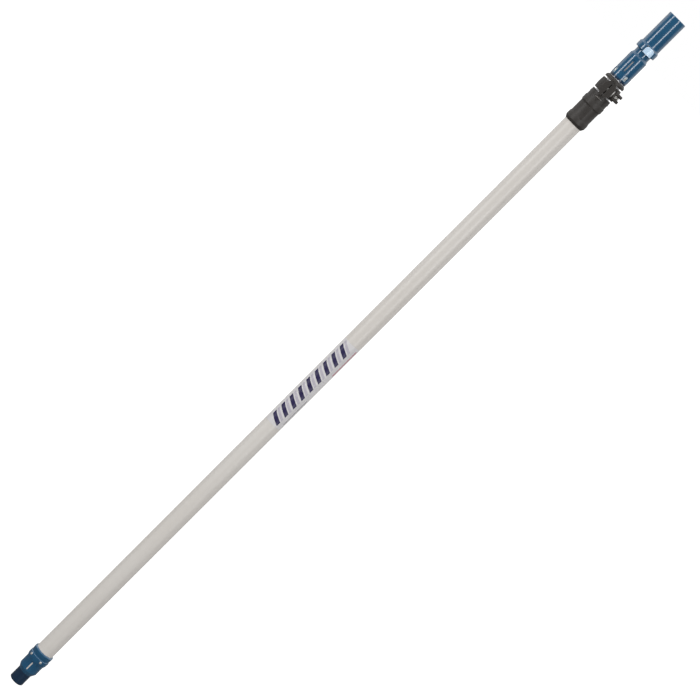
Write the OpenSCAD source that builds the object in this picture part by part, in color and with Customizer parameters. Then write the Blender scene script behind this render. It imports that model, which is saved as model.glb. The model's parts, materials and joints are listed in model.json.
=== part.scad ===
// Telescopic extension pole for a paint roller. An outer tube carries a butt fitting and a split
// lock collar; an inner tube slides and turns in it and carries a quick-release head.
// +Z runs up the pole from the middle of the butt end face, the clamp ears face -Y, the clamp knob
// is on the +X side and the latch button faces -Y, turned a little towards the knob's side.
// Lengths are in millimetres, with the pole closed.

/* [Pole] */
// Length of the closed pole, end to end
closed_length = 1260; // [1200:10:1500]
// How far the inner section pulls out
extension_travel = 850; // [600:10:870]
// Outer diameter of the outer tube
outer_tube_od = 26; // [25.8:0.1:26.2]
// Wall of both tubes
tube_wall = 1.2; // [1.1:0.1:1.3]
// Radial gap between the two tubes
tube_gap = 0.6; // [0.5:0.1:0.7]
// Length of the printed label
label_length = 152; // [100:1:250]
// Height of the label's lower edge
label_z = 509; // [300:1:600]

/* [Butt cap] */
// Diameter of the spigot at the lower end
spigot_d = 21.3; // [21:0.1:21.5]
// Length of the spigot below the cap
spigot_length = 19.3; // [16:0.1:21]
// Wall of the cap's body round the tube
cap_wall = 1; // [0.9:0.1:1.3]
// Wall of the thicker sleeve at the cap's upper end
sleeve_wall = 2.4; // [2.1:0.1:2.8]
// Length of the cap above the spigot
cap_length = 39.8; // [38.5:0.1:43]
// Rivets round the sleeve
rivet_count = 5; // [3:1:8]

/* [Lock collar] */
// Length of the collar
collar_length = 79.2; // [79:0.1:80]
// Wall of the barrel that sits on the outer tube
barrel_wall = 1.95; // [1.7:0.05:2.2]
// How far the lower flange stands above the barrel
flange_rise = 0.85; // [0.6:0.05:1.2]
// How far the middle ring stands above the barrel
ring_rise = 1.05; // [0.7:0.05:1.3]
// Height of the clamp band between its two cross slots
band_height = 17; // [16:0.5:17.5]
// Width of each cross slot
slot_width = 2.2; // [1.6:0.1:2.4]
// Width of the uncut bridge behind the band, in degrees
bridge_angle = 70; // [50:5:90]

/* [Clamp] */
// Width across the two clamp ears
ears_width = 17.4; // [16.8:0.1:17.6]
// Gap between the ears
ears_gap = 1.2; // [1:0.1:2]
// Diameter of the clamp bolt
bolt_d = 5; // [4:0.5:5]
// Distance of the clamp bolt from the pole's axis
bolt_offset = 19.2; // [19.2:0.1:20]
// Diameter of the knob's base
knob_d = 16.4; // [15:0.1:16.6]
// Length of the knob
knob_length = 12.1; // [12:0.1:16]
// Prongs on the knob
knob_prongs = 4; // [3:1:5]

/* [Head] */
// Length of the head above the collar
head_length = 109.6; // [105:0.1:120]
// Wall of the head sleeve round the inner tube
head_wall = 2.1; // [1.9:0.1:2.2]
// Diameter of the socket's bore
socket_bore_d = 21.5; // [21.3:0.1:21.7]
// Wall of the socket
socket_wall = 2.7; // [2.3:0.1:2.8]
// Outer diameter of the neck
neck_d = 22.7; // [22.2:0.1:23.5]
// Outer diameter of the latch ring
ring_d = 30.4; // [30.2:0.1:31]
// Windows round the head sleeve
window_count = 4; // [2:1:5]

/* [Latch] */
// Turn of the push button from the front towards the knob's side, in degrees
latch_turn = 14; // [0:1:20]
// Width of the push button
button_width = 13.4; // [13:0.1:13.8]
// Height of the push button
button_height = 10.3; // [10:0.1:10.6]
// Travel of the button and the latch plate
latch_travel = 1.8; // [1.7:0.05:1.8]

/* [Hidden] */
$fn = 96;
eps = 1;                  // overshoot of every cutter
fit = 0.05;               // radial clearance of seated and sliding parts

// Tubes
outer_r = outer_tube_od / 2;
outer_bore_r = outer_r - tube_wall;
inner_r = outer_bore_r - tube_gap;
inner_bore_r = inner_r - tube_wall;

// Butt cap
spigot_r = spigot_d / 2;
cap_shoulder_z = spigot_length + 6.7;
cap_top_z = spigot_length + cap_length;
cap_body_r = outer_r + cap_wall;
sleeve_r = outer_r + sleeve_wall;
step_z = spigot_length + 20.1;
rivet_z = spigot_length + 27.4;
rivet_r = 1.55;
rivet_phase = 27;         // turn of the first rivet from the front
cap_slot_turn = -3;
spigot_top_z = cap_shoulder_z + 24;
spigot_core_r = 8.5;

// Landmarks along the pole
closing_gap = 0.5;
head_z = closed_length - head_length;
collar_z = head_z - closing_gap - collar_length;

// Lock collar, heights from its lower edge
barrel_r = outer_r + barrel_wall;
flange_r = barrel_r + flange_rise;
ring_r = barrel_r + ring_rise;
throat_r = barrel_r + 0.25;
end_ring_r = barrel_r + 0.55;
band_r = outer_r + 3;
collar_bore_r = inner_r + fit;
pin_h = 47.6;
tube_stop_h = 50.8;
clamp_h = 63;
slot_low_h = clamp_h - band_height / 2 - slot_width;
slot_high_h = clamp_h + band_height / 2;
tube_top_z = collar_z + tube_stop_h;
pin_z = collar_z + pin_h;
pin_r = 1.6;
pin_inner_r = outer_bore_r + 0.1;

// Clamp
clamp_z = collar_z + clamp_h;
liner_r = inner_r + 0.8;
liner_height = band_height - 2;
liner_gap = 2;
ears_r = bolt_offset + 5.2;
ears_height = band_height + 2 * slot_width + 0.8;
ears_corner = 4.5;
ears_root_r = liner_r + 0.3;
ears_relief_r = band_r + 0.4;
ear_face_x = ears_width / 2;
bolt_r = bolt_d / 2;
bolt_hole_r = bolt_r + 0.25;
hex_r = 4.6;              // corner radius of the bolt's head and of the nut
bolt_head_length = 3.5;
bolt_end_x = ear_face_x + 10.7;
washer_r = 5.5;
washer_thickness = 1.1;
knob_x = ear_face_x + washer_thickness + 2 * fit;
knob_r = knob_d / 2;
knob_disc_length = 3.3;
prong_r = 2;
prong_offset = 5.66;
nut_x = knob_x + 1.4;
nut_length = 4.4;

// Inner section
inner_tube_z = 80;
inner_tube_top_h = 38.4;
bush_low_z = inner_tube_z - 15.7;
bush_high_z = inner_tube_z - 3.1;
journal_r = 6;
bush_r = outer_bore_r - fit;
stop_height = 16;
stop_top_z = tube_top_z - extension_travel - closing_gap;
peg_r = 1.9;

// Head, heights from its lower edge
bumper_height = 3.1;
sleeve_outer_r = inner_r + head_wall;
window_band_r = sleeve_outer_r + 0.1;
window_phase = 33;
window_width = 5;
window_low_h = 4.6;
window_height = 7.2;
key_r = window_band_r - 0.45;
groove_depth = 0.5;
neck_r = neck_d / 2;
throat_bore_r = 9.4;
head_slot_turn = -6;
seam_h = 52.3;
latch_ring_r = ring_d / 2;
socket_bore_r = socket_bore_d / 2;
socket_r = socket_bore_r + socket_wall;
socket_floor_h = 50;

// Latch
plate_thickness = 2.4;
plate_pocket_h = seam_h + fit;
plate_pocket_height = plate_thickness + 4 * fit;
plate_z = head_z + plate_pocket_h + 2 * fit;
plate_hole_r = socket_bore_r + 0.15;
plate_r = plate_hole_r + 2.7;
plate_limit_r = latch_ring_r - 1.1;
plate_half_width = 13.3;
button_low_h = 48.7;
button_face_y = latch_ring_r + 0.8;
button_back_y = latch_ring_r - 1.2;
button_pocket_y = button_back_y - latch_travel - 0.2;
button_crown_r = 24;
button_clearance = 0.2;
tongue_half_width = 5;
web_half_width = button_width / 2 - 0.2;
spring_x = 4.5;
spring_h = 56.3;
spring_wire_r = 0.15;
spring_coil_r = 0.95;
spring_hole_r = 1.25;
spring_inner_y = button_pocket_y - 1.2;
spring_outer_y = button_back_y + 0.8;
screw_x = 13.4;
screw_r = 0.9;

// A solid of revolution from [radius, height] points
module turned(points) {
    rotate_extrude() polygon(points);
}

// A plain tube from height z0 to z1
module pipe(outside_r, inside_r, z0, z1) {
    translate([0, 0, z0]) difference() {
        cylinder(r = outside_r, h = z1 - z0);
        translate([0, 0, -eps]) cylinder(r = inside_r, h = z1 - z0 + 2 * eps);
    }
}

// Repeats a child drawn at the front of the pole
module around(count, phase = 0) {
    for (i = [0 : count - 1])
        rotate([0, 0, phase + i * 360 / count]) children();
}

// Turns a child from the front of the pole to the latch's side of the head
module latch_side() {
    rotate([0, 0, latch_turn]) children();
}

// A radial pin at the front of the pole, from radius r0 out to r1
module radial_pin(r, r0, r1, z) {
    translate([0, -r0, z]) rotate([90, 0, 0]) cylinder(r = r, h = r1 - r0);
}

// A slot cutter at the front of the pole with round ends, from radius r0 outwards
module radial_slot(width, z0, z1, r0) {
    reach = 6;
    translate([-width / 2, -r0 - reach, z0 + width / 2]) cube([width, reach, z1 - z0 - width]);
    for (z = [z0 + width / 2, z1 - width / 2])
        radial_pin(width / 2, r0, r0 + reach, z);
}

// A pin along +X from x0 to x1 on the clamp bolt's axis
module bolt_axis_pin(r, x0, x1, sides = 96) {
    translate([x0, -bolt_offset, clamp_z]) rotate([0, 90, 0])
        cylinder(r = r, h = x1 - x0, $fn = sides);
}

// A helical spring along +Z
module coil(coil_r, wire_r, length, turns) {
    steps = turns * 12;
    sides = 6;
    points = [for (i = [0 : steps]) for (j = [0 : sides - 1])
        let (turn = i * turns * 360 / steps, around_wire = j * 360 / sides)
        let (r = coil_r + wire_r * cos(around_wire))
        [r * cos(turn), r * sin(turn), wire_r + (length - 2 * wire_r) * i / steps
            + wire_r * sin(around_wire)]];
    walls = [for (i = [0 : steps - 1]) for (j = [0 : sides - 1])
        let (k = (j + 1) % sides)
        [i * sides + j, (i + 1) * sides + j, (i + 1) * sides + k, i * sides + k]];
    start_cap = [for (j = [0 : sides - 1]) j];
    end_cap = [for (j = [sides - 1 : -1 : 0]) steps * sides + j];
    polyhedron(points, concat([start_cap, end_cap], walls), convexity = 10);
}

// Painted outer tube, drilled for the cap's rivets and the collar's pins
module outer_tube() {
    color("gainsboro") difference() {
        pipe(outer_r, outer_bore_r, cap_shoulder_z + fit, tube_top_z);
        around(rivet_count, rivet_phase) radial_pin(rivet_r + fit, spigot_core_r, sleeve_r, rivet_z);
        around(2, 90) radial_pin(pin_r + fit, inner_r, band_r, pin_z);
    }
}

// Printed film wrapped part of the way round the tube
module tube_label() {
    film = 0.1;
    wrap = 136;
    color("whitesmoke") translate([0, 0, label_z]) rotate([0, 0, -90 - wrap / 2])
        rotate_extrude(angle = wrap) translate([outer_r + film / 10, 0]) square([film, label_length]);
}

// Lower fitting: cone, slotted body and riveted sleeve
module butt_cap() {
    spigot_bore_r = spigot_r + fit;
    groove_r = sleeve_r - 0.6;
    upper_r = sleeve_r - 0.25;
    color("steelblue") difference() {
        turned([
            [spigot_bore_r, spigot_length], [spigot_bore_r + 0.3, spigot_length],
            [cap_body_r, spigot_length + 5.8],
            [cap_body_r, step_z], [sleeve_r, step_z + 3.6], [sleeve_r, rivet_z + 2.6],
            [groove_r, rivet_z + 3.4], [groove_r, rivet_z + 5.4], [upper_r, rivet_z + 6.2],
            [upper_r, cap_top_z - 1.4], [upper_r - 1.2, cap_top_z],
            [outer_r + fit, cap_top_z], [outer_r + fit, cap_shoulder_z],
            [spigot_bore_r, cap_shoulder_z]
        ]);
        around(rivet_count, rivet_phase) radial_pin(rivet_r + fit, spigot_core_r, sleeve_r + eps, rivet_z);
        rotate([0, 0, cap_slot_turn]) {
            radial_slot(5.9, spigot_length + 6.1, spigot_length + 21.6, cap_body_r - 0.5);
            radial_slot(1.9, spigot_length + 7.2, spigot_length + 20.2, outer_bore_r);
        }
    }
}

// Hollow plug: its nose stands out of the cap and its shank fills the tube's end
module butt_spigot() {
    nose = 1.2;
    floor_thickness = 4;
    waist_r = spigot_r - 0.3;
    shank_r = outer_bore_r - fit;
    color("midnightblue") difference() {
        turned([
            [0, 0], [spigot_r - nose, 0], [spigot_r, nose], [spigot_r, spigot_length - 0.2],
            [waist_r, spigot_length - 0.1], [waist_r, cap_shoulder_z + fit],
            [shank_r, cap_shoulder_z + fit], [shank_r, spigot_top_z], [spigot_core_r, spigot_top_z],
            [spigot_core_r, floor_thickness], [0, floor_thickness]
        ]);
        around(rivet_count, rivet_phase) radial_pin(rivet_r + fit, spigot_core_r - eps, sleeve_r, rivet_z);
    }
}

// Domed rivets through the sleeve, the tube and the spigot
module cap_rivets() {
    head_r = 1.95;
    head_base = sleeve_r + fit;
    color("silver") around(rivet_count, rivet_phase) {
        radial_pin(rivet_r, spigot_core_r + 0.4, head_base + 0.1, rivet_z);
        radial_pin(head_r, head_base, head_base + 0.2, rivet_z);
        translate([0, -head_base - 0.2, rivet_z]) rotate([90, 0, 0])
            cylinder(r1 = head_r, r2 = 1.2, h = 0.35);
    }
}

// Outside of the collar before any cuts, with a crowned clamp band
module collar_outside() {
    crown = 0.6;
    crown_steps = 8;
    turned(concat(
        [[0, 0], [outer_r + 0.6, 0], [flange_r, 3.8], [flange_r, 10.3], [barrel_r, 12.3],
            [barrel_r, 30.9], [ring_r, 32.8], [ring_r, 39.4], [throat_r, 41.2],
            [throat_r, slot_low_h + slot_width / 2], [band_r - crown, slot_low_h + slot_width / 2]],
        [for (i = [0 : crown_steps])
            [band_r - crown + crown * sin(180 * i / crown_steps),
                slot_low_h + slot_width + band_height * i / crown_steps]],
        [[band_r - crown, slot_high_h + slot_width / 2], [end_ring_r, slot_high_h + slot_width / 2],
            [end_ring_r, collar_length - 2.4], [outer_r + 0.3, collar_length], [0, collar_length]]
    ));
}

// One cross slot from height z0, cut right round except for the bridge at the back
module cross_slot(z0) {
    reach = 2 * band_r;
    translate([0, 0, z0]) difference() {
        cylinder(r = band_r + eps, h = slot_width);
        translate([0, 0, -eps]) linear_extrude(slot_width + 2 * eps) polygon([
            [0, 0], [reach * sin(bridge_angle / 2), reach], [-reach * sin(bridge_angle / 2), reach]
        ]);
    }
}

// Both clamp ears as one eight-sided block, relieved where it stands over the cross slots
module clamp_ears() {
    x = ear_face_x;
    z = ears_height / 2;
    c = ears_corner;
    relief = 2 * slot_width;
    difference() {
        translate([0, -ears_root_r, clamp_z]) rotate([90, 0, 0]) linear_extrude(ears_r - ears_root_r)
            polygon([[x, c - z], [x, z - c], [x - c, z], [c - x, z], [-x, z - c], [-x, c - z],
                [c - x, -z], [x - c, -z]]);
        for (z0 = [clamp_z - band_height / 2 - relief, clamp_z + band_height / 2])
            translate([0, 0, z0]) cylinder(r = ears_relief_r, h = relief);
        translate([-ears_gap / 2, -ears_r - eps, clamp_z - z - eps])
            cube([ears_gap, ears_r, 2 * (z + eps)]);
    }
}

// Lock collar: sits on the outer tube and closes on the inner tube through its split band
module lock_collar() {
    sight_width = 13;
    rib_width = 4.2;
    color("dimgray") difference() {
        union() {
            translate([0, 0, collar_z]) difference() {
                collar_outside();
                cross_slot(slot_low_h);
                cross_slot(slot_high_h);
            }
            translate([0, -barrel_r - 0.6, collar_z + 11]) cube([rib_width, barrel_wall, 21]);
            clamp_ears();
        }
        translate([0, 0, collar_z - eps]) cylinder(r = outer_r + fit, h = tube_stop_h + fit + eps);
        translate([0, 0, collar_z]) cylinder(r = collar_bore_r, h = collar_length + eps);
        translate([0, 0, clamp_z - liner_height / 2 - fit])
            cylinder(r = liner_r + fit, h = liner_height + 2 * fit);
        translate([-sight_width / 2, -throat_r - eps, pin_z - 1.2]) cube([sight_width, 5, 1]);
        around(2, 90) radial_pin(pin_r + fit, inner_r, throat_r + eps, pin_z);
        translate([-ears_gap / 2, -ears_relief_r, clamp_z - band_height / 2 - slot_width])
            cube([ears_gap, ears_relief_r, band_height + 2 * slot_width]);
        bolt_axis_pin(bolt_hole_r, -ears_width, ears_width);
        bolt_axis_pin(hex_r + 0.1, -ears_width, bolt_head_length + fit - ear_face_x, 6);
    }
}

// Two pins that hold the collar on the tube
module collar_pins() {
    color("black") around(2, 90) {
        radial_pin(pin_r, pin_inner_r, throat_r, pin_z);
        translate([0, -throat_r, pin_z]) rotate([90, 0, 0]) cylinder(r1 = pin_r, r2 = 1, h = 0.45);
    }
}

// Friction sleeve, split at the back, that the band closes on the inner tube
module clamp_liner() {
    color("dimgray") difference() {
        pipe(liner_r, collar_bore_r, clamp_z - liner_height / 2, clamp_z + liner_height / 2);
        translate([-liner_gap / 2, 0, clamp_z - liner_height])
            cube([liner_gap, outer_r, 2 * liner_height]);
    }
}

// Clamp bolt: its hexagon head sits in the -X ear
module clamp_bolt() {
    color("silver") {
        bolt_axis_pin(hex_r, -ear_face_x, bolt_head_length - ear_face_x, 6);
        bolt_axis_pin(bolt_r, -ear_face_x, bolt_end_x - 0.6);
        translate([bolt_end_x - 0.6, -bolt_offset, clamp_z]) rotate([0, 90, 0])
            cylinder(r1 = bolt_r, r2 = bolt_r - 0.5, h = 0.6);
    }
}

// Washer between the +X ear and the knob
module knob_washer() {
    color("silver") difference() {
        bolt_axis_pin(washer_r, ear_face_x + fit, ear_face_x + fit + washer_thickness);
        bolt_axis_pin(bolt_r + 2 * fit, ear_face_x, knob_x);
    }
}

// Knob: a dished disc with tapering prongs round the nut
module clamp_knob() {
    neck_length = 1;
    neck_radius = 6;
    prong_base_length = 4.4;
    disc_end_x = knob_x + knob_disc_length;
    color("dimgray") difference() {
        union() {
            translate([knob_x, -bolt_offset, clamp_z]) rotate([0, 90, 0]) turned([
                [0, 0], [neck_radius, 0], [neck_radius, neck_length], [knob_r, neck_length + 1.2],
                [knob_r, knob_disc_length - 0.5], [knob_r - 0.5, knob_disc_length],
                [0, knob_disc_length]
            ]);
            for (i = [0 : knob_prongs - 1])
                translate([disc_end_x - 0.2, -bolt_offset, clamp_z])
                    rotate([180 / knob_prongs + i * 360 / knob_prongs, 0, 0])
                    translate([0, 0, prong_offset]) rotate([0, 90, 0]) {
                        cylinder(r1 = 2.5, r2 = prong_r, h = prong_base_length);
                        cylinder(r = prong_r, h = knob_length - knob_disc_length - 0.4);
                        translate([0, 0, knob_length - knob_disc_length - 0.4])
                            cylinder(r1 = prong_r, r2 = prong_r - 0.6, h = 0.6);
                    }
        }
        bolt_axis_pin(bolt_hole_r, knob_x - eps, bolt_end_x);
        bolt_axis_pin(hex_r + fit, nut_x - fit, bolt_end_x + knob_length, 6);
    }
}

// Hexagon nut set in the knob
module knob_nut() {
    color("silver") difference() {
        bolt_axis_pin(hex_r, nut_x, nut_x + nut_length, 6);
        bolt_axis_pin(bolt_r + fit, nut_x - eps, nut_x + nut_length + eps);
    }
}

// Bush that slides in the outer tube and lets the inner section turn
module guide_bush() {
    color("white") turned([
        [journal_r + fit, bush_low_z], [bush_r - 0.8, bush_low_z], [bush_r, bush_low_z + 0.8],
        [bush_r, bush_low_z + 4], [bush_r - 0.6, bush_low_z + 4.6],
        [bush_r - 0.6, bush_high_z - 4.6], [bush_r, bush_high_z - 4], [bush_r, bush_high_z - 0.8],
        [bush_r - 0.8, bush_high_z], [journal_r + fit, bush_high_z]
    ]);
}

// Plug in the inner tube's lower end, with the journal that carries the bush
module inner_end_plug() {
    cap_r = journal_r + 2;
    color("lightgray") turned([
        [0, bush_low_z - 3.7], [cap_r - 1, bush_low_z - 3.7], [cap_r, bush_low_z - 2.7],
        [cap_r, bush_low_z - 2 * fit], [journal_r, bush_low_z - 2 * fit],
        [journal_r, bush_high_z + 2 * fit], [inner_r, bush_high_z + 2 * fit],
        [inner_r, inner_tube_z - fit], [inner_bore_r - fit, inner_tube_z - fit],
        [inner_bore_r - fit, inner_tube_z + 20], [0, inner_tube_z + 20]
    ]);
}

// Inner tube, drilled for the stop sleeve's pegs and the head's rivets
module inner_tube() {
    color("lightgray") difference() {
        pipe(inner_r, inner_bore_r, inner_tube_z, head_z + inner_tube_top_h);
        around(2, 90) radial_pin(peg_r + fit, inner_bore_r - eps, outer_r, stop_top_z - stop_height / 2);
        around(window_count, window_phase)
            radial_pin(1 + fit, inner_bore_r - eps, outer_r, head_z + window_low_h + window_height / 2);
    }
}

// Sleeve that meets the collar's step at full reach, keyed to the inner tube by two pegs
module stop_sleeve() {
    color("white") {
        pipe(bush_r, inner_r + fit, stop_top_z - stop_height, stop_top_z);
        around(2, 90) radial_pin(peg_r, inner_bore_r, bush_r - 0.1, stop_top_z - stop_height / 2);
    }
}

// Notched ring that the head lands on when the pole is closed
module bumper_ring() {
    notches = 8;
    notch_height = 0.8;
    notch_width = 7.4;
    color("midnightblue") difference() {
        pipe(sleeve_outer_r - 0.2, inner_r + fit, head_z, head_z + bumper_height);
        around(notches, 4) translate([-notch_width / 2, -outer_r - eps, head_z - eps])
            cube([notch_width, 5, notch_height + eps]);
    }
}

// Cut for the push button, shared by both head mouldings
module button_pocket() {
    latch_side() translate([-button_width / 2 - button_clearance, -outer_r - 4,
            head_z + button_low_h - button_clearance])
        cube([button_width + 2 * button_clearance, outer_r + 4 - button_pocket_y,
            button_height + 2 * button_clearance]);
}

// Upright screw holes through the seam of the head, one on each side of the latch
module seam_screw_holes() {
    around(2, 90 + latch_turn) translate([0, -screw_x, head_z + socket_floor_h - 2])
        cylinder(r = screw_r + fit, h = 9.1);
}

// Lower head moulding: window band, slotted sleeve, neck and the latch ring's floor
module head_sleeve() {
    low_h = bumper_height + fit;
    groove_r = window_band_r - groove_depth;
    tube_top_h = inner_tube_top_h + fit;
    color("steelblue") difference() {
        translate([0, 0, head_z]) turned([
            [collar_bore_r, low_h], [groove_r, low_h], [groove_r, low_h + 0.7],
            [window_band_r, low_h + 0.9], [window_band_r, 12.4], [groove_r, 12.6], [groove_r, 13.3],
            [sleeve_outer_r, 13.5], [sleeve_outer_r, 39], [neck_r, 42.2], [neck_r, 48.4],
            [neck_r + 0.6, 49.5], [latch_ring_r - 0.6, 49.5], [latch_ring_r, 50.1],
            [latch_ring_r, seam_h], [socket_bore_r, seam_h], [socket_bore_r, socket_floor_h],
            [throat_bore_r, socket_floor_h], [throat_bore_r, tube_top_h], [collar_bore_r, tube_top_h]
        ]);
        around(window_count, window_phase)
            translate([-window_width / 2, -outer_r - eps, head_z + window_low_h])
            cube([window_width, outer_r - 8, window_height]);
        translate([0, 0, head_z]) rotate([0, 0, head_slot_turn]) {
            radial_slot(6, 13.6, 34.2, sleeve_outer_r - 0.65);
            radial_slot(1.8, 14.6, 31.9, inner_bore_r);
        }
        button_pocket();
        seam_screw_holes();
    }
}

// Keys that fill the windows and hold the head sleeve on the inner tube
module window_keys() {
    gap = 0.1;
    width = window_width - 2 * gap;
    height = window_height - 2 * gap;
    mid_z = head_z + window_low_h + window_height / 2;
    color("whitesmoke") around(window_count, window_phase) difference() {
        intersection() {
            pipe(key_r, inner_r + fit, mid_z - height / 2, mid_z + height / 2);
            translate([-width / 2, -outer_r, mid_z - height]) cube([width, outer_r - 8, 2 * height]);
        }
        radial_pin(1 + fit, inner_bore_r, outer_r, mid_z);
    }
}

// Rivets through the keys and the inner tube
module head_rivets() {
    mid_z = head_z + window_low_h + window_height / 2;
    shank_r = 1;
    head_r = 1.7;
    color("silver") around(window_count, window_phase) {
        radial_pin(shank_r, inner_bore_r - 0.6, key_r + 0.1, mid_z);
        radial_pin(head_r, key_r + fit, key_r + 0.4, mid_z);
        radial_pin(head_r, inner_bore_r - 0.9, inner_bore_r - 0.4, mid_z);
    }
}

// Upper head moulding: latch ring and the socket that takes the roller frame's plug
module socket_tube() {
    mouth = 0.8;
    lip = 0.6;
    color("steelblue") difference() {
        translate([0, 0, head_z]) turned([
            [socket_bore_r, seam_h + fit], [latch_ring_r, seam_h + fit], [latch_ring_r, 57.6],
            [latch_ring_r - 0.5, 58.5], [socket_r + 0.3, 60], [socket_r, 60.6],
            [socket_r, head_length - lip], [socket_r - lip, head_length],
            [socket_bore_r + mouth, head_length], [socket_bore_r, head_length - mouth]
        ]);
        latch_side() translate([0, 0, head_z + seam_h]) linear_extrude(plate_pocket_height + fit) {
            intersection() {
                circle(r = plate_limit_r + 0.1);
                square([2 * plate_half_width + 0.3, 4 * outer_r], center = true);
            }
            translate([-button_width / 2 - button_clearance, -latch_ring_r - eps])
                square([button_width + 2 * button_clearance, latch_ring_r]);
        }
        button_pocket();
        seam_screw_holes();
        latch_side() for (side = [-1, 1])
            translate([side * spring_x, 0, head_z + spring_h]) rotate([90, 0, 0])
                translate([0, 0, spring_inner_y]) cylinder(r = spring_hole_r, h = outer_r);
    }
}

// Small screws that join the two mouldings; their shanks are also the plate's stops
module head_screws() {
    color("gray") around(2, 90 + latch_turn)
        translate([0, -screw_x, head_z + socket_floor_h - 0.4]) cylinder(r = screw_r, h = 7.2);
}

// Sliding plate: its oval opening catches the plug's groove until the button is pressed
module latch_plate() {
    notch_depth = 0.9;
    color("silver") latch_side() translate([0, 0, plate_z]) linear_extrude(plate_thickness) difference() {
        union() {
            intersection() {
                translate([0, -latch_travel]) circle(r = plate_r);
                circle(r = plate_limit_r);
                square([2 * plate_half_width, 4 * outer_r], center = true);
            }
            translate([-web_half_width, -button_back_y + 0.1]) square([2 * web_half_width, 6]);
            translate([-tongue_half_width, -button_back_y - 0.8]) square([2 * tongue_half_width, 3]);
        }
        translate([0, -latch_travel]) circle(r = plate_hole_r);
        for (side = [-1, 1])
            translate([side * (plate_half_width + 1 - notch_depth), 0])
                translate([-1, -screw_r - latch_travel - 0.1])
                square([2, 2 * screw_r + latch_travel + 0.15]);
    }
}

// D-shaped push button on the plate's tongue, square below and round above
module latch_button() {
    corner = 4;
    w = button_width / 2;
    h = button_height;
    low_z = head_z + button_low_h;
    color("lightblue") latch_side() difference() {
        intersection() {
            translate([0, 0, low_z]) rotate([90, 0, 0]) linear_extrude(button_face_y) union() {
                translate([-w, 0]) square([2 * w, h - corner]);
                translate([corner - w, 0]) square([2 * (w - corner), h]);
                for (side = [-1, 1])
                    translate([side * (w - corner), h - corner]) circle(r = corner);
            }
            translate([0, button_crown_r - button_face_y, low_z - eps])
                cylinder(r = button_crown_r, h = h + 2 * eps);
            translate([-outer_r, -2 * outer_r, low_z - eps])
                cube([2 * outer_r, 2 * outer_r - button_back_y, h + 2 * eps]);
        }
        translate([-tongue_half_width - 0.1, -button_back_y - 0.85, plate_z - fit])
            cube([2 * tongue_half_width + 0.2, 2, plate_thickness + 2 * fit]);
        for (side = [-1, 1])
            translate([side * spring_x, 0, head_z + spring_h]) rotate([90, 0, 0])
                cylinder(r = spring_hole_r, h = spring_outer_y + fit);
    }
}

// Two coil springs that push the button out
module latch_springs() {
    color("silver") latch_side() for (side = [-1, 1])
        translate([side * spring_x, -spring_inner_y - fit, head_z + spring_h]) rotate([90, 0, 0])
            coil(spring_coil_r, spring_wire_r, spring_outer_y - spring_inner_y - fit, 5);
}

outer_tube();
tube_label();
butt_cap();
butt_spigot();
cap_rivets();
lock_collar();
collar_pins();
clamp_liner();
clamp_bolt();
knob_washer();
clamp_knob();
knob_nut();
guide_bush();
inner_end_plug();
inner_tube();
stop_sleeve();
bumper_ring();
head_sleeve();
window_keys();
head_rivets();
socket_tube();
head_screws();
latch_plate();
latch_button();
latch_springs();
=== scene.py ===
"""Looks for the telescopic roller extension pole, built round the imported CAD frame."""

import json
import math

import bpy
from mathutils import Matrix, Vector

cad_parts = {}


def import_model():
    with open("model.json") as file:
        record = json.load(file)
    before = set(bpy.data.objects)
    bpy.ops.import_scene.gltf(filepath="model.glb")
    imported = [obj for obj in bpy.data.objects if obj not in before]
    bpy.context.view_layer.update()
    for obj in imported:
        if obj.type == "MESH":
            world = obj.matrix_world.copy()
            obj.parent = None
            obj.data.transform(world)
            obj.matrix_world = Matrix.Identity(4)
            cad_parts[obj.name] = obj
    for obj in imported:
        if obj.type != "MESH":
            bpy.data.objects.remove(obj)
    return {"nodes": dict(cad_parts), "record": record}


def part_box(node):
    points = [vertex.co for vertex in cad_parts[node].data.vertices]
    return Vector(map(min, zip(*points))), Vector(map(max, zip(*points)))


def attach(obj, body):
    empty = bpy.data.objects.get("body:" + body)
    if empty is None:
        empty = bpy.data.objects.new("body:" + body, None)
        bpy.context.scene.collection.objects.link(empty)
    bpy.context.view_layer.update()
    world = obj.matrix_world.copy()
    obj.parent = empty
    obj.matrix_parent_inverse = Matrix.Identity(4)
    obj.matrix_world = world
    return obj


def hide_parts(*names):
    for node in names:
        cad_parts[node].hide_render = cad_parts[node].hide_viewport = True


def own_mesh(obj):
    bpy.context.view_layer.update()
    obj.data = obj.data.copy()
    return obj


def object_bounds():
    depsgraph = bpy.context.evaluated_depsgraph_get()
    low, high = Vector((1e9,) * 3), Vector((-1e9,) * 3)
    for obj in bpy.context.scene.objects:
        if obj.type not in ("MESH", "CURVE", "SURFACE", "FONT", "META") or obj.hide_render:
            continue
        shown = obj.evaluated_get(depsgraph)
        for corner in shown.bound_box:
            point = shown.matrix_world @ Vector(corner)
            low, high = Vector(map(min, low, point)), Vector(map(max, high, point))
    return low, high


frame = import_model()
cad_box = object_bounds()
nodes = frame["nodes"]

MM = 0.001
CORNER_TURN = 24.0  # degrees; a CAD mesh is shaded sharp where its faces meet at more than this


# ---------------------------------------------------------------- materials

def srgb(r, g, b):
    """A linear colour from 0-255 screen values."""
    def channel(v):
        v /= 255
        return v / 12.92 if v <= 0.04045 else ((v + 0.055) / 1.055) ** 2.4
    return (channel(r), channel(g), channel(b), 1.0)


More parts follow.
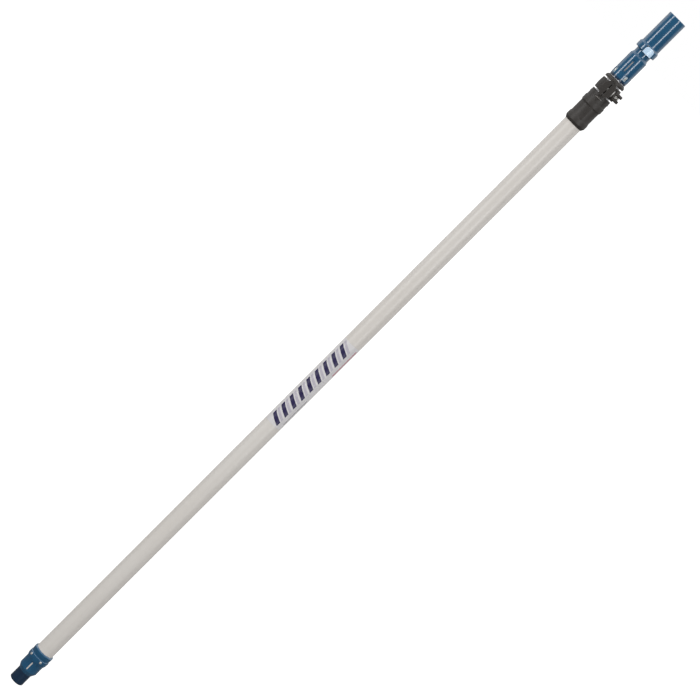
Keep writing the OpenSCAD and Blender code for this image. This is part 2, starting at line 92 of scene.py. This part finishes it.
class Graph:
    """A material's node tree, with short calls for the nodes used here."""

    def __init__(self, name):
        self.material = bpy.data.materials.new(name)
        self.material.use_nodes = True
        self.tree = self.material.node_tree
        self.shader = self.tree.nodes["Principled BSDF"]
        coords = self.tree.nodes.new("ShaderNodeTexCoord")
        self.place = coords.outputs["Object"]

    def link(self, source, target):
        self.tree.links.new(source, target)

    def set(self, **values):
        """Sets inputs of the shader by name, with underscores for spaces."""
        for name, value in values.items():
            self.shader.inputs[name.replace("_", " ")].default_value = value

    def stretched(self, scale):
        """The object's own coordinates, scaled by axis."""
        mapping = self.tree.nodes.new("ShaderNodeMapping")
        mapping.inputs["Scale"].default_value = scale
        self.link(self.place, mapping.inputs["Vector"])
        return mapping.outputs["Vector"]

    def noise(self, scale, detail=3.0, stretch=None, roughness=0.55):
        """Cloudy noise with scale features a metre, drawn out along the axes where stretch is small."""
        node = self.tree.nodes.new("ShaderNodeTexNoise")
        node.inputs["Scale"].default_value = scale
        node.inputs["Detail"].default_value = detail
        node.inputs["Roughness"].default_value = roughness
        self.link(self.stretched(stretch) if stretch else self.place, node.inputs["Vector"])
        return node.outputs["Fac"]

    def specks(self, scale):
        """Distance from scattered points, scale of them a metre."""
        node = self.tree.nodes.new("ShaderNodeTexVoronoi")
        node.inputs["Scale"].default_value = scale
        self.link(self.place, node.inputs["Vector"])
        return node.outputs["Distance"]

    def ramp(self, source, low, high, out_low=0.0, out_high=1.0):
        """Maps low..high of source to out_low..out_high."""
        node = self.tree.nodes.new("ShaderNodeMapRange")
        node.inputs["From Min"].default_value = low
        node.inputs["From Max"].default_value = high
        node.inputs["To Min"].default_value = out_low
        node.inputs["To Max"].default_value = out_high
        self.link(source, node.inputs["Value"])
        return node.outputs["Result"]

    def math(self, operation, a, b):
        """A sum or product of two values, each a number or a socket."""
        node = self.tree.nodes.new("ShaderNodeMath")
        node.operation = operation
        for socket, value in zip(node.inputs, (a, b)):
            if isinstance(value, (int, float)):
                socket.default_value = value
            else:
                self.link(value, socket)
        return node.outputs[0]

    def mix(self, factor, a, b):
        """Colour a where factor is 0 and b where it is 1."""
        node = self.tree.nodes.new("ShaderNodeMix")
        node.data_type = "RGBA"
        for socket, value in zip((node.inputs[0], node.inputs[6], node.inputs[7]), (factor, a, b)):
            if isinstance(value, (int, float, tuple)):
                socket.default_value = value
            else:
                self.link(value, socket)
        return node.outputs[2]

    def edge_wear(self, radius):
        """0 on flats, rising towards 1 on convex edges."""
        bevel = self.tree.nodes.new("ShaderNodeBevel")
        bevel.samples = 4
        bevel.inputs["Radius"].default_value = radius
        geometry = self.tree.nodes.new("ShaderNodeNewGeometry")
        dot = self.tree.nodes.new("ShaderNodeVectorMath")
        dot.operation = "DOT_PRODUCT"
        self.link(bevel.outputs[0], dot.inputs[0])
        self.link(geometry.outputs["Normal"], dot.inputs[1])
        return self.ramp(dot.outputs["Value"], 0.995, 0.85)

    def painted_shade(self, tone, reach, darkest_shade):
        """Painted shade: darkens a colour inside grooves and corners by ambient occlusion, down to the
        given share of itself where they are deepest.
        """
        node = self.tree.nodes.new("ShaderNodeAmbientOcclusion")
        node.samples = 6
        node.inputs["Distance"].default_value = reach
        level = self.ramp(node.outputs["AO"], 0.25, 0.8, darkest_shade, 1.0)
        scale = self.tree.nodes.new("ShaderNodeVectorMath")
        scale.operation = "SCALE"
        self.link(tone, scale.inputs[0])
        self.link(level, scale.inputs["Scale"])
        return scale.outputs["Vector"]

    def relief(self, source, distance, strength=1.0, edge=None):
        """Bump from source, over edges rounded to the radius edge."""
        bump = self.tree.nodes.new("ShaderNodeBump")
        bump.inputs["Distance"].default_value = distance
        bump.inputs["Strength"].default_value = strength
        self.link(source, bump.inputs["Height"])
        if edge:
            bevel = self.tree.nodes.new("ShaderNodeBevel")
            bevel.samples = 4
            bevel.inputs["Radius"].default_value = edge
            self.link(bevel.outputs[0], bump.inputs["Normal"])
        self.link(bump.outputs[0], self.shader.inputs["Normal"])


PAINT_WARM = srgb(211, 206, 200)
PAINT_COOL = srgb(214, 210, 205)
PAINT_SCUFF = srgb(180, 172, 160)
METAL_EDGE = 0.12 * MM
INK_ROUGH = 0.4


def painted_tube():
    """Satin white paint on a drawn tube: faint lengthwise unevenness, fine orange peel, a few scuffs."""
    g = Graph("white_paint")
    broad = g.noise(9.0, 2.0, (1, 1, 0.35))
    lines = g.noise(260.0, 4.0, (1, 1, 0.02))
    scuffs = g.ramp(g.noise(70.0, 5.0, (1, 1, 0.16), 0.7), 0.63, 0.74)
    tone = g.mix(g.ramp(broad, 0.35, 0.65), PAINT_COOL, PAINT_WARM)
    tone = g.mix(g.math("MULTIPLY", scuffs, 0.16), tone, PAINT_SCUFF)
    tone = g.mix(g.ramp(lines, 0.35, 0.75, 0.0, 0.10), tone, PAINT_SCUFF)
    g.link(tone, g.shader.inputs["Base Color"])
    rough = g.math("ADD", g.ramp(broad, 0.3, 0.7, 0.34, 0.42), g.math("MULTIPLY", scuffs, 0.18))
    g.link(rough, g.shader.inputs["Roughness"])
    g.set(Coat_Weight=0.15, Coat_Roughness=0.25, IOR=1.48)
    peel = g.math("ADD", g.noise(900.0, 2.0), g.math("MULTIPLY", lines, 0.6))
    g.relief(peel, 0.02 * MM, 0.5)
    return g.material


def moulded(name, colour, wear_and_sheen, rough, grain, grain_depth, edge=0.25 * MM, coat=0.0, painted_sheen_tone=0.25):
    """Injection-moulded plastic: painted sheen in broad lighter clouds, moulded grain, rubbed edges,
    hairline scratches and painted shade in grooves and corners.
    """
    g = Graph(name)
    sheen_and_flow = g.noise(38.0, 3.0, (1, 1, 0.5))
    scratch = g.ramp(g.noise(420.0, 3.0, (1.0, 0.25, 0.08), 0.6), 0.62, 0.72)
    # painted sheen: broad lighter clouds mixed towards the pale colour; the pale colour also marks
    # rubbed edges and scratches
    tone = g.mix(g.ramp(sheen_and_flow, 0.3, 0.7, 0.0, painted_sheen_tone), colour, wear_and_sheen)
    tone = g.mix(g.math("MULTIPLY", g.edge_wear(edge * 1.6), 0.55), tone, wear_and_sheen)
    tone = g.mix(g.math("MULTIPLY", scratch, 0.12), tone, wear_and_sheen)
    # painted shade: the base colour darkens in grooves and corners, down to 0.35 of itself
    g.link(g.painted_shade(tone, 2.5 * MM, 0.35), g.shader.inputs["Base Color"])
    base_rough = g.ramp(sheen_and_flow, 0.3, 0.7, rough * 0.88, rough * 1.14)
    g.link(g.math("ADD", base_rough, g.math("MULTIPLY", scratch, 0.14)), g.shader.inputs["Roughness"])
    g.set(Coat_Weight=coat, Coat_Roughness=rough * 0.6, IOR=1.5)
    g.relief(g.noise(grain, 3.0), grain_depth, 0.6, edge)
    return g.material


def metal(name, colour, dark, rough, stretch, pitted=0.1, plating=0.7, darkest_shade=0.5):
    """Bare or plated metal with drawn or turned lines, slight tarnish, rounded edges and painted shade
    in grooves and corners.
    """
    g = Graph(name)
    lines = g.noise(600.0, 4.0, stretch, 0.6)
    tarnish = g.noise(120.0, 4.0)
    tone = g.mix(g.ramp(tarnish, 0.45, 0.75, 0.0, 0.5), colour, dark)
    tone = g.mix(g.ramp(lines, 0.4, 0.7, 0.0, 0.25), tone, dark)
    # painted shade: the base colour darkens in grooves and corners
    g.link(g.painted_shade(tone, 1.5 * MM, darkest_shade), g.shader.inputs["Base Color"])
    g.link(g.ramp(lines, 0.3, 0.7, rough * 0.8, rough * 1.3), g.shader.inputs["Roughness"])
    g.set(Metallic=plating)
    g.relief(g.math("ADD", lines, g.math("MULTIPLY", tarnish, pitted)), 0.01 * MM, 0.6, METAL_EDGE)
    return g.material


def printed(name, colour, pale):
    """Screen-printed ink: slightly uneven cover with tiny pinholes."""
    g = Graph(name)
    cover = g.noise(520.0, 3.0)
    pinholes = g.ramp(g.specks(1400.0), 0.10, 0.03)
    tone = g.mix(g.ramp(cover, 0.35, 0.75, 0.0, 0.22), colour, pale)
    tone = g.mix(g.math("MULTIPLY", pinholes, 0.35), tone, pale)
    g.link(tone, g.shader.inputs["Base Color"])
    g.link(g.ramp(cover, 0.3, 0.7, INK_ROUGH * 0.9, INK_ROUGH * 1.1), g.shader.inputs["Roughness"])
    g.relief(cover, 0.008 * MM, 0.4)
    return g.material


material = {
    "white_paint": painted_tube(),
    "label_film": moulded("label_film", srgb(213, 211, 212), srgb(200, 198, 200),
                          rough=0.34, grain=700.0, grain_depth=0.01 * MM, edge=0.05 * MM),
    "blue_plastic": moulded("blue_plastic", srgb(14, 74, 110), srgb(46, 108, 142),
                            rough=0.2, grain=900.0, grain_depth=0.02 * MM, coat=0.8),
    "navy_plastic": moulded("navy_plastic", srgb(3, 34, 60), srgb(14, 54, 84),
                            rough=0.3, grain=900.0, grain_depth=0.02 * MM, coat=0.3),
    # the black plastic takes a fainter painted sheen
    "black_plastic": moulded("black_plastic", srgb(38, 34, 31), srgb(92, 87, 82),
                             rough=0.5, grain=1500.0, grain_depth=0.05 * MM, edge=0.4 * MM,
                             painted_sheen_tone=0.12),
    "grey_plastic": moulded("grey_plastic", srgb(176, 176, 174), srgb(146, 146, 144),
                            rough=0.5, grain=1200.0, grain_depth=0.03 * MM),
    "white_plastic": moulded("white_plastic", srgb(172, 188, 196), srgb(150, 166, 176),
                             rough=0.45, grain=1000.0, grain_depth=0.03 * MM),
    "pale_blue_plastic": moulded("pale_blue_plastic", srgb(192, 219, 243), srgb(212, 230, 246),
                                 rough=0.24, grain=900.0, grain_depth=0.02 * MM, coat=0.3),
    # the aluminium keeps only faint painted shade in its grooves
    "aluminium": metal("aluminium", srgb(232, 232, 233), srgb(196, 198, 202),
                       rough=0.3, stretch=(1, 1, 0.01), plating=0.35, darkest_shade=0.9),
    "steel": metal("steel", srgb(226, 225, 221), srgb(150, 148, 143),
                   rough=0.32, stretch=(0.06, 1, 1)),
    "dark_steel": metal("dark_steel", srgb(120, 122, 126), srgb(60, 60, 63),
                        rough=0.4, stretch=(1, 1, 1), pitted=0.5),
    "ink_navy": printed("ink_navy", srgb(34, 28, 72), srgb(64, 58, 104)),
    "ink_grey": printed("ink_grey", srgb(182, 178, 188), srgb(206, 203, 212)),
    "ink_crimson": printed("ink_crimson", srgb(168, 44, 84), srgb(196, 98, 128)),
    "ink_charcoal": printed("ink_charcoal", srgb(92, 90, 100), srgb(146, 144, 152)),
}


# ---------------------------------------------------------------- mesh helpers

def add_object(name, vertices, faces, slot, body, smooth_angle=35.0):
    """A mesh piece that rides on a body and takes its finish from a record slot."""
    mesh = bpy.data.meshes.new(name)
    mesh.from_pydata(vertices, [], faces)
    mesh.validate()
    mesh.shade_smooth()
    mesh.set_sharp_from_angle(angle=math.radians(smooth_angle))
    piece = bpy.data.objects.new(name, mesh)
    bpy.context.scene.collection.objects.link(piece)
    mesh.materials.append(material[slot])
    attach(piece, body)
    return piece


def lathe(profile, segments=144):
    """Vertices and faces of a closed ring whose section is profile, (radius, height) pairs."""
    vertices, faces = [], []
    count = len(profile)
    for i in range(segments):
        angle = 2 * math.pi * i / segments
        vertices += [(r * math.cos(angle), r * math.sin(angle), z) for r, z in profile]
    for i in range(segments):
        near, far = i * count, (i + 1) % segments * count
        for j in range(count):
            k = (j + 1) % count
            faces.append((near + j, far + j, far + k, near + k))
    return vertices, faces


def joined(*parts):
    """One vertex and face list from several."""
    vertices, faces = [], []
    for points, corners in parts:
        start = len(vertices)
        vertices += points
        faces += [tuple(start + c for c in face) for face in corners]
    return vertices, faces


def smooth_by_angle(limit):
    """A node group that shades a mesh smooth and keeps edges sharper than limit sharp."""
    group = bpy.data.node_groups.new("shade_by_angle", "GeometryNodeTree")
    group.interface.new_socket("Geometry", in_out="INPUT", socket_type="NodeSocketGeometry")
    group.interface.new_socket("Geometry", in_out="OUTPUT", socket_type="NodeSocketGeometry")
    source = group.nodes.new("NodeGroupInput")
    target = group.nodes.new("NodeGroupOutput")
    angle = group.nodes.new("GeometryNodeInputMeshEdgeAngle")
    below = group.nodes.new("FunctionNodeCompare")
    below.data_type, below.operation = "FLOAT", "LESS_THAN"
    below.inputs[1].default_value = math.radians(limit)
    faces = group.nodes.new("GeometryNodeSetShadeSmooth")
    edges = group.nodes.new("GeometryNodeSetShadeSmooth")
    edges.domain = "EDGE"
    group.links.new(source.outputs[0], faces.inputs["Geometry"])
    group.links.new(faces.outputs[0], edges.inputs["Geometry"])
    group.links.new(angle.outputs["Unsigned Angle"], below.inputs[0])
    group.links.new(below.outputs[0], edges.inputs["Shade Smooth"])
    group.links.new(edges.outputs[0], target.inputs[0])
    return group


SHADING = smooth_by_angle(CORNER_TURN)


def dress(node, slot):
    """Gives a CAD node its material, joined corners and clean shading."""
    piece = nodes[node]
    piece.data.materials.clear()
    piece.data.materials.append(material[slot])
    weld = piece.modifiers.new("weld", "WELD")
    weld.merge_threshold = 0.001 * MM
    shading = piece.modifiers.new("shading", "NODES")
    shading.node_group = SHADING


# ---------------------------------------------------------------- CAD nodes

for entry in frame["record"]["subparts"]:
    dress(entry["node"], entry["material_slot"])


def long_tube(name, node, wall, slot, body):
    """A tube with eased rims that stands for a CAD tube, with finer facets and the same size."""
    low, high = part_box(node)
    outside = round(high.x / MM, 2) * MM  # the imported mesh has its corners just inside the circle
    inside = outside - wall
    ease = 0.25 * MM
    profile = [(outside - ease, low.z), (outside, low.z + ease), (outside, high.z - ease),
               (outside - ease, high.z), (inside + ease, high.z), (inside, high.z - ease),
               (inside, low.z + ease), (inside + ease, low.z)]
    piece = add_object(name, *lathe(profile), slot, body)
    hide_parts(node)


TUBE_WALL = 1.2 * MM
long_tube("painted_tube", "outer_tube", TUBE_WALL, "white_paint", "pole")
long_tube("drawn_tube", "inner_tube", TUBE_WALL, "aluminium", "inner_section")


# ---------------------------------------------------------------- label print

label_low, label_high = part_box("tube_label")
FILM_RADIUS = max(abs(label_low.y), abs(label_high.y))
INK_LIFT = 0.01 * MM


def ink_patch(low_turn, high_turn, low_edge, high_edge, lift, depth=0.03 * MM, rows=20):
    """A thin patch on the tube between two turns from the front, its ends given by functions of turn."""
    vertices, faces = [], []
    for i in range(rows + 1):
        turn = low_turn + (high_turn - low_turn) * i / rows
        for radius in (FILM_RADIUS + lift, FILM_RADIUS + lift + depth):
            for edge in (low_edge, high_edge):
                vertices.append((radius * math.sin(turn), -radius * math.cos(turn), edge(turn)))
    for i in range(rows):
        a, b = 4 * i, 4 * i + 4
        faces += [(a, a + 1, b + 1, b), (a + 2, b + 2, b + 3, a + 3),
                  (a, b, b + 2, a + 2), (a + 1, a + 3, b + 3, b + 1)]
    end = 4 * rows
    faces += [(0, 2, 3, 1), (end, end + 1, end + 3, end + 2)]
    return vertices, faces


def join_patches(name, patches, slot):
    """One printed piece of several patches."""
    add_object(name, *joined(*patches), slot, "pole")


def slanted_stripe(centre_z, width):
    """One solid stripe of the label's pattern; its ends are square and it leans as it goes round."""
    middle_turn = (STRIPE_START + STRIPE_END) / 2

    def edge(side):
        return lambda turn: (centre_z + side * width / 2
                             - STRIPE_SLANT * (turn - middle_turn) * FILM_RADIUS)
    return ink_patch(STRIPE_START, STRIPE_END, edge(-1), edge(1), INK_LIFT)


PRINT_LOW = label_low.z + 5 * MM
PRINT_HIGH = label_high.z - 4 * MM
STRIPE_COUNT = 9
STRIPE_START, STRIPE_END = math.radians(-48), math.radians(28)
STRIPE_SLANT = 0.5
stripe_pitch = (PRINT_HIGH - PRINT_LOW) / STRIPE_COUNT
for name, slot, share, step in (("label_stripes_navy", "ink_navy", 0.42, 0.32),
                                ("label_stripes_grey", "ink_grey", 0.26, 0.78)):
    stripes = [slanted_stripe(PRINT_LOW + stripe_pitch * (i + step), stripe_pitch * share)
               for i in range(STRIPE_COUNT)]
    join_patches(name, stripes, slot)


def label_rule(name, low_z, high_z, turn, width, slot):
    """A thin line along the tube, at a turn in degrees from the front."""
    half = width / 2 / FILM_RADIUS
    centre = math.radians(turn)
    patch = ink_patch(centre - half, centre + half, lambda _: low_z, lambda _: high_z, INK_LIFT, rows=3)
    join_patches(name, [patch], slot)


label_rule("label_rule_charcoal", PRINT_LOW + 4 * MM, PRINT_LOW + 49 * MM, 59, 1.0 * MM, "ink_charcoal")
label_rule("label_rule_crimson", PRINT_HIGH - 46 * MM, PRINT_HIGH, 61, 1.6 * MM, "ink_crimson")


# ---------------------------------------------------------------- latch springs

def joint(name):
    """A joint's entry in the record."""
    return next(j for j in frame["record"]["behaviour"]["joints"] if j["name"] == name)


def tube_along(points, radius, sides=10):
    """Vertices and faces of a round wire with closed ends that follows points."""
    vertices, faces = [], []
    for i, point in enumerate(points):
        ahead = (points[min(i + 1, len(points) - 1)] - points[max(i - 1, 0)]).normalized()
        if i == 0:
            across = ahead.orthogonal().normalized()
        else:
            across = (across - ahead * across.dot(ahead)).normalized()
        over = ahead.cross(across)
        for j in range(sides):
            turn = 2 * math.pi * j / sides
            vertices.append(point + across * (radius * math.cos(turn))
                            + over * (radius * math.sin(turn)))
    for i in range(len(points) - 1):
        for j in range(sides):
            k = (j + 1) % sides
            a, b = i * sides, (i + 1) * sides
            faces.append((a + j, a + k, b + k, b + j))
    last = (len(points) - 1) * sides
    faces += [tuple(reversed(range(sides))), tuple(last + j for j in range(sides))]
    return vertices, faces


def latch_springs():
    """Two coil springs with flat end turns, standing in the head."""
    wire = 0.15 * MM
    coils, end_coils, steps = 5.0, 0.9, 28
    press = Vector(joint("latch_press")["axis"]).normalized()
    across = Vector((press.y, -press.x, 0))
    cad = nodes["latch_springs"]
    corners = [cad.matrix_world @ v.co for v in cad.data.vertices]
    outer_end = min(c.dot(press) for c in corners) + wire
    inner_end = max(c.dot(press) for c in corners) - wire
    low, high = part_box("latch_springs")
    height = (low.z + high.z) / 2
    coil = (high.z - low.z) / 2 - wire
    reach = max(c.dot(across) for c in corners) - coil - wire
    length = inner_end - outer_end
    for name, side in (("latch_spring_right", 1), ("latch_spring_left", -1)):
        count = int(coils * steps)
        path = []
        for i in range(count + 1):
            done = i / steps
            share = min(1.0, max(0.0, (done - end_coils) / (coils - 2 * end_coils)))
            closed = 2 * wire * (min(done, end_coils) - max(0.0, done - coils + end_coils)) / end_coils
            along = closed + share * (length - 2 * wire) if done < coils - end_coils else (
                length - 2 * wire * (coils - done) / end_coils)
            turn = 2 * math.pi * done
            path.append(press * (outer_end + min(along, length))
                        + across * (side * reach + coil * math.cos(turn))
                        + Vector((0, 0, height + coil * math.sin(turn))))
        piece = add_object(name, *tube_along(path, wire), "steel", "inner_section", 60.0)
        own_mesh(piece)
        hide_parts("latch_springs")


latch_springs()


# ---------------------------------------------------------------- bolt, nut and rivets

BOLT_AXIS = Vector(joint("knob_turn")["pos_m"])
BOLT_SIDES = 96
THREAD_PITCH = 0.8 * MM
FACE_SHARE = 0.87  # flat end faces of the hexagons, as a share of their corner radius


def bolt_rings(xs, radius_at):
    """Rings of points round the bolt's axis at each x; radius_at gives the radius for (index, turn)."""
    vertices = []
    for i, x in enumerate(xs):
        for j in range(BOLT_SIDES):
            turn = 2 * math.pi * j / BOLT_SIDES
            r = radius_at(i, turn)
            vertices.append((x, BOLT_AXIS.y + r * math.cos(turn), BOLT_AXIS.z + r * math.sin(turn)))
    return vertices


def ring_walls(rings):
    """Faces that join each ring of the bolt or nut to the next."""
    faces = []
    for i in range(rings - 1):
        for j in range(BOLT_SIDES):
            k = (j + 1) % BOLT_SIDES
            a, b = i * BOLT_SIDES, (i + 1) * BOLT_SIDES
            faces.append((a + j, a + k, b + k, b + j))
    return faces


def hexagon(corner_radius, turn):
    """Radius of a hexagon with corners above and below, at a turn."""
    flat = corner_radius * math.cos(math.pi / 6)
    return flat / math.cos((turn + math.pi / 6) % (math.pi / 3) - math.pi / 6)


def threaded_bolt():
    """Hexagon-headed bolt: eased head corners, plain shank, then a rolled thread to a chamfered end."""
    low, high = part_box("clamp_bolt")
    corner = (high.z - low.z) / 2
    shank = 2.5 * MM
    head_length = 3.5 * MM
    head_xs = [low.x, low.x + 0.45 * MM, low.x + head_length - 0.02 * MM, low.x + head_length]
    limits = [corner * FACE_SHARE, corner, corner, shank]
    thread_start = 4 * MM
    depth = 0.45 * MM
    xs = [thread_start]
    step = THREAD_PITCH / 8
    while xs[-1] + 1.5 * step < high.x:
        xs.append(xs[-1] + step)
    xs.append(high.x)

    def head_radius(i, turn):
        return min(limits[i], hexagon(corner, turn))

    def shaft_radius(i, turn):
        if i == 0:
            return shank
        phase = (xs[i] / THREAD_PITCH - turn / (2 * math.pi)) % 1.0
        crest = shank - depth * max(0.0, 1 - abs(2 * phase - 1) * 1.25)
        return min(crest, shank - depth + max(0.0, high.x - xs[i]))

    vertices = bolt_rings(head_xs, head_radius) + bolt_rings(xs, shaft_radius)
    rings = len(head_xs) + len(xs)
    last = (rings - 1) * BOLT_SIDES
    ends = [tuple(range(last, last + BOLT_SIDES)), tuple(reversed(range(BOLT_SIDES)))]
    piece = add_object("threaded_bolt", vertices, ring_walls(rings) + ends, "steel", "pole", 25.0)
    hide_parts("clamp_bolt")


def chamfered_nut():
    """Hexagon nut with both faces turned down at the corners and a countersunk bore."""
    low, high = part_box("knob_nut")
    corner = (high.z - low.z) / 2
    bore = 2.55 * MM
    sink = 0.35 * MM
    ease = 0.5 * MM
    outside = [(low.x, corner * FACE_SHARE), (low.x + ease, corner),
               (high.x - ease, corner), (high.x, corner * FACE_SHARE)]
    inside = [(high.x, bore + sink), (high.x - sink, bore), (low.x + sink, bore), (low.x, bore + sink)]
    rows = outside + inside

    def radius(i, turn):
        limit = rows[i][1]
        return min(limit, hexagon(corner, turn)) if i < len(outside) else limit

    vertices = bolt_rings([x for x, _ in rows], radius)
    last = (len(rows) - 1) * BOLT_SIDES
    closing = [(last + j, last + (j + 1) % BOLT_SIDES, (j + 1) % BOLT_SIDES, j)
               for j in range(BOLT_SIDES)]
    piece = add_object("chamfered_nut", vertices, ring_walls(len(rows)) + closing, "steel", "knob", 25.0)
    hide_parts("knob_nut")


def domed_rivets(name, node, body, shank, rise, inner_head=0.0):
    """Rivets with domed heads where a CAD node has its rivets, each a stack of rings along its axis.

    shank is a radius, rise is the dome's height and inner_head is the thickness of a second head.
    """
    cad = nodes[node]
    low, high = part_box(node)
    height = (low.z + high.z) / 2
    head = (high.z - low.z) / 2
    points = [cad.matrix_world @ v.co for v in cad.data.vertices]
    crown = max(math.hypot(p.x, p.y) for p in points)
    root = min(math.hypot(p.x, p.y) for p in points)
    apart = math.radians(15)  # corners of one rivet lie closer together than this
    turns = []
    for turn in sorted(math.atan2(p.x, -p.y) for p in points):
        if not turns or turn - turns[-1][-1] > apart:
            turns.append([])
        turns[-1].append(turn)
    steps, sides = 7, 32
    base = crown - rise
    foot = [(shank, root)]
    if inner_head:
        foot = [(head, root), (head, root + inner_head), (shank, root + inner_head)]
    profile = foot + [(shank, base), (head, base)]
    for i in range(1, steps):
        slope = math.pi / 2 * i / steps
        profile.append((head * math.cos(slope), base + rise * math.sin(slope)))
    parts = []
    for corner_turns in turns:
        turn = (corner_turns[0] + corner_turns[-1]) / 2
        outward = Vector((math.sin(turn), -math.cos(turn), 0))
        across = Vector((math.cos(turn), math.sin(turn), 0))
        middle = Vector((0, 0, height))
        vertices = [middle + outward * root]
        for r, along in profile:
            for j in range(sides):
                a = 2 * math.pi * j / sides
                vertices.append(middle + outward * along + across * (r * math.cos(a))
                                + Vector((0, 0, r * math.sin(a))))
        vertices.append(middle + outward * crown)
        faces = [(0, 1 + (j + 1) % sides, 1 + j) for j in range(sides)]
        for i in range(len(profile) - 1):
            for j in range(sides):
                k = (j + 1) % sides
                a, b = 1 + i * sides, 1 + (i + 1) * sides
                faces.append((a + j, a + k, b + k, b + j))
        last, tip = 1 + (len(profile) - 1) * sides, len(vertices) - 1
        faces += [(last + j, last + (j + 1) % sides, tip) for j in range(sides)]
        parts.append((vertices, faces))
    piece = add_object(name, *joined(*parts), "steel", body, 40.0)
    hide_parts(node)


threaded_bolt()
chamfered_nut()
domed_rivets("cap_dome_rivets", "cap_rivets", "pole", 1.5 * MM, 0.55 * MM)
domed_rivets("key_dome_rivets", "head_rivets", "inner_section", 1.0 * MM, 0.35 * MM, 0.5 * MM)


# ---------------------------------------------------------------- floor, lights, camera

middle_z = (cad_box[0].z + cad_box[1].z) / 2
STRIP_LENGTH = 2.6


def floor():
    """A pale floor that looks white to the camera but throws little light back up."""
    g = Graph("studio_floor")
    g.link(g.mix(g.noise(0.6, 2.0), srgb(92, 92, 92), srgb(96, 96, 96)),
           g.shader.inputs["Base Color"])
    g.set(Roughness=0.9, Emission_Color=(1.0, 1.0, 1.0, 1.0))
    path = g.tree.nodes.new("ShaderNodeLightPath")
    g.link(path.outputs["Is Camera Ray"], g.shader.inputs["Emission Strength"])
    size = 60.0
    mesh = bpy.data.meshes.new("floor")
    mesh.from_pydata([(-size, -size, 0), (size, -size, 0), (size, size, 0), (-size, size, 0)], [],
                     [(0, 1, 2, 3)])
    plane = bpy.data.objects.new("floor", mesh)
    plane.location.z = cad_box[0].z
    mesh.materials.append(g.material)
    bpy.context.scene.collection.objects.link(plane)


def strip_light(name, azimuth, distance, width, power, rise):
    """A tall soft box that faces the pole, its middle at rise above the pole's middle.

    azimuth is in degrees from the camera's side, positive towards +X.
    """
    light = bpy.data.lights.new(name, "AREA")
    light.shape = "RECTANGLE"
    light.size, light.size_y = width, STRIP_LENGTH
    light.energy = power
    lamp = bpy.data.objects.new(name, light)
    turn = math.radians(azimuth)
    height = middle_z + rise
    lamp.location = (distance * math.sin(turn), -distance * math.cos(turn), height)
    aim = Vector((0, 0, height)) - lamp.location
    lamp.rotation_euler = aim.to_track_quat("-Z", "Y").to_euler()
    bpy.context.scene.collection.objects.link(lamp)


HORIZON_LIGHT = 0.16
DOME_LIGHT = 1.12


def world():
    """A pale backdrop for the camera; for the object a bright dome above a dim horizon."""
    w = bpy.data.worlds.new("studio")
    w.use_nodes = True
    tree = w.node_tree
    background = tree.nodes["Background"]
    path = tree.nodes.new("ShaderNodeLightPath")
    coords = tree.nodes.new("ShaderNodeTexCoord")
    split = tree.nodes.new("ShaderNodeSeparateXYZ")
    dome = tree.nodes.new("ShaderNodeMapRange")
    dome.inputs["From Min"].default_value = 0.1
    dome.inputs["From Max"].default_value = 0.5
    dome.inputs["To Min"].default_value = HORIZON_LIGHT
    dome.inputs["To Max"].default_value = DOME_LIGHT
    strength = tree.nodes.new("ShaderNodeMix")
    strength.inputs["B"].default_value = 1.0
    tree.links.new(coords.outputs["Generated"], split.inputs[0])
    tree.links.new(split.outputs["Z"], dome.inputs["Value"])
    tree.links.new(path.outputs["Is Camera Ray"], strength.inputs["Factor"])
    tree.links.new(dome.outputs["Result"], strength.inputs["A"])
    tree.links.new(strength.outputs["Result"], background.inputs["Strength"])
    background.inputs["Color"].default_value = (1.0, 1.0, 1.0, 1.0)
    bpy.context.scene.world = w


floor()
world()
strip_light("key_left", azimuth=-52, distance=2.4, width=0.46, power=26.0, rise=0.35)
strip_light("key_right", azimuth=33, distance=2.4, width=0.42, power=25.0, rise=0.2)
strip_light("rear_left", azimuth=-118, distance=2.6, width=2.4, power=15.0, rise=0.3)
strip_light("rear_right", azimuth=125, distance=2.6, width=2.4, power=9.0, rise=0.3)


def camera():
    """Looks down at the pole's middle, turned so that the pole runs from corner to corner."""
    distance = 3.5
    down = math.radians(10.0)
    roll = math.radians(45.04)
    forward = Vector((0, math.cos(down), -math.sin(down)))
    right_of_axis = 3.3 * MM
    above_middle = 22 * MM
    aim = Vector((right_of_axis, 0, middle_z + above_middle))
    pole_up = Vector((0, math.sin(down), math.cos(down)))
    across = Vector((1, 0, 0))
    right = across * math.cos(roll) + pole_up * math.sin(roll)
    up = pole_up * math.cos(roll) - across * math.sin(roll)
    data = bpy.data.cameras.new("camera")
    data.lens = 135.9
    data.sensor_width = 36.0
    data.clip_start, data.clip_end = 0.05, 200.0
    cam = bpy.data.objects.new("camera", data)
    turn = Matrix((right, up, -forward)).transposed()
    cam.matrix_world = Matrix.Translation(aim - forward * distance) @ turn.to_4x4()
    bpy.context.scene.collection.objects.link(cam)
    bpy.context.scene.camera = cam


camera()
bpy.context.scene.view_settings.view_transform = "Standard"
